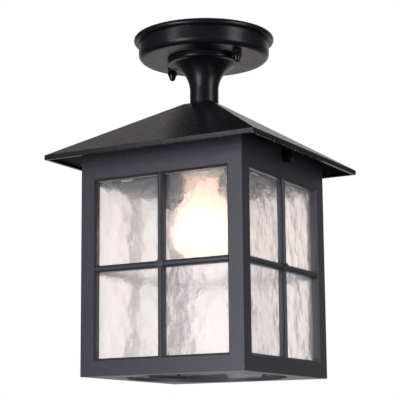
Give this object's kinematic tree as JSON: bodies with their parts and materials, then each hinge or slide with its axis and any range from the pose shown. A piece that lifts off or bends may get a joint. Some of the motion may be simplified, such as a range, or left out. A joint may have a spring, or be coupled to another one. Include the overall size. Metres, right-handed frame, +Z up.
{
  "type": "porch ceiling lantern",
  "caption": "Square black porch lantern with hammered glass and glazing bars, hung under a pyramid roof from a flared stem and round ceiling canopy.",
  "frame": {"origin": "centre of the canopy on the ceiling plane, between the two ceiling screw holes of the bracket", "axes": "+Z up into the ceiling, -Y towards the front window, +X towards the right window"},
  "size_m": [0.214, 0.214, 0.321],
  "materials": {
    "body_black": "matte",
    "roof_black": "satin",
    "canopy_black": "satin",
    "nut_black": "gloss",
    "zinc_steel": "satin",
    "brass": "satin",
    "seal_rubber": "matte",
    "gasket_foam": "matte",
    "holder_ivory": "satin",
    "porcelain": "gloss",
    "connector_nylon": "matte",
    "lead_brown": "matte",
    "lead_blue": "matte",
    "lead_green_yellow": "matte",
    "hammered_glass": "gloss",
    "bulb_glass": "satin",
    "bulb_mount": "gloss",
    "lamp_metal": "satin",
    "lamp_black_glass": "gloss",
    "filament": "satin"
  },
  "bodies": {
    "fixture": {"mounting_bracket": "zinc_steel", "bracket_studs": "zinc_steel", "earth_screw": "brass", "ceiling_gasket": "gasket_foam", "canopy": "canopy_black", "connector_block": "connector_nylon", "connector_screws": "brass", "block_screw": "zinc_steel", "live_lead": "lead_brown", "neutral_lead": "lead_blue", "earth_lead": "lead_green_yellow", "earth_tag": "brass", "tube_top_washer": "zinc_steel", "tube_top_nut": "zinc_steel", "stem_tube": "zinc_steel", "stem_top_seal": "seal_rubber", "stem": "canopy_black", "roof_seal": "seal_rubber", "roof": "roof_black", "roof_washer": "zinc_steel", "roof_nut": "zinc_steel", "lampholder_cap": "holder_ivory", "lampholder_shell": "holder_ivory", "lampholder_insert": "porcelain", "lampholder_thread": "brass", "lampholder_contact": "brass", "lampholder_screws": "brass"},
    "cage": {"lantern_body": "body_black", "glass_front": "hammered_glass", "glass_back": "hammered_glass", "glass_left": "hammered_glass", "glass_right": "hammered_glass", "glass_clips": "zinc_steel", "clip_screws": "zinc_steel"},
    "lamp": {"lamp_glass": "bulb_glass", "lamp_cap": "lamp_metal", "lamp_insulator": "lamp_black_glass", "lamp_contact": "lamp_metal", "lamp_mount": "bulb_mount", "lamp_filament": "filament"},
    "seal_washer_left": {"seal_washer_left": "seal_rubber"},
    "cap_nut_left": {"cap_nut_left": "nut_black"},
    "seal_washer_right": {"seal_washer_right": "seal_rubber"},
    "cap_nut_right": {"cap_nut_right": "nut_black"},
    "thumb_washer_left": {"thumb_washer_left": "nut_black"},
    "thumb_screw_left": {"thumb_screw_left": "nut_black"},
    "thumb_washer_right": {"thumb_washer_right": "nut_black"},
    "thumb_screw_right": {"thumb_screw_right": "nut_black"}
  },
  "joints": [
    {"name": "cage_slide", "type": "slide", "parent": "fixture", "child": "cage", "axis": [0, 0, -1], "range_m": [0, 0.16]},
    {"name": "lamp_slide", "type": "slide", "parent": "fixture", "child": "lamp", "axis": [0, 0, -1], "range_m": [0, 0.22]},
    {"name": "thumb_travel_left", "type": "slide", "parent": "fixture", "child": "thumb_washer_left", "axis": [-1, 0, 0], "range_m": [0, 0.004]},
    {"name": "thumb_turn_left", "type": "hinge", "parent": "thumb_washer_left", "child": "thumb_screw_left", "pos_m": [-0.0885, 0, -0.12462], "axis": [-1, 0, 0], "range_deg": [0, 1801]},
    {"name": "thumb_travel_right", "type": "slide", "parent": "fixture", "child": "thumb_washer_right", "axis": [1, 0, 0], "range_m": [0, 0.004]},
    {"name": "thumb_turn_right", "type": "hinge", "parent": "thumb_washer_right", "child": "thumb_screw_right", "pos_m": [0.0885, 0, -0.12462], "axis": [1, 0, 0], "range_deg": [0, 1801]},
    {"name": "cap_nut_travel_left", "type": "slide", "parent": "fixture", "child": "seal_washer_left", "axis": [0, 0, -1], "range_m": [0, 0.0064]},
    {"name": "cap_nut_turn_left", "type": "hinge", "parent": "seal_washer_left", "child": "cap_nut_left", "pos_m": [-0.04256, 0.01301, -0.028], "axis": [0, 0, -1], "range_deg": [0, 2881]},
    {"name": "cap_nut_travel_right", "type": "slide", "parent": "fixture", "child": "seal_washer_right", "axis": [0, 0, -1], "range_m": [0, 0.0064]},
    {"name": "cap_nut_turn_right", "type": "hinge", "parent": "seal_washer_right", "child": "cap_nut_right", "pos_m": [0.04256, -0.01301, -0.028], "axis": [0, 0, -1], "range_deg": [0, 2881]}
  ],
  "couplings": [
    {"joint": "thumb_turn_left", "follows": "thumb_travel_left", "rad_per_m": 7854},
    {"joint": "thumb_turn_right", "follows": "thumb_travel_right", "rad_per_m": 7854},
    {"joint": "cap_nut_turn_left", "follows": "cap_nut_travel_left", "rad_per_m": 7854},
    {"joint": "cap_nut_turn_right", "follows": "cap_nut_travel_right", "rad_per_m": 7854}
  ]
}
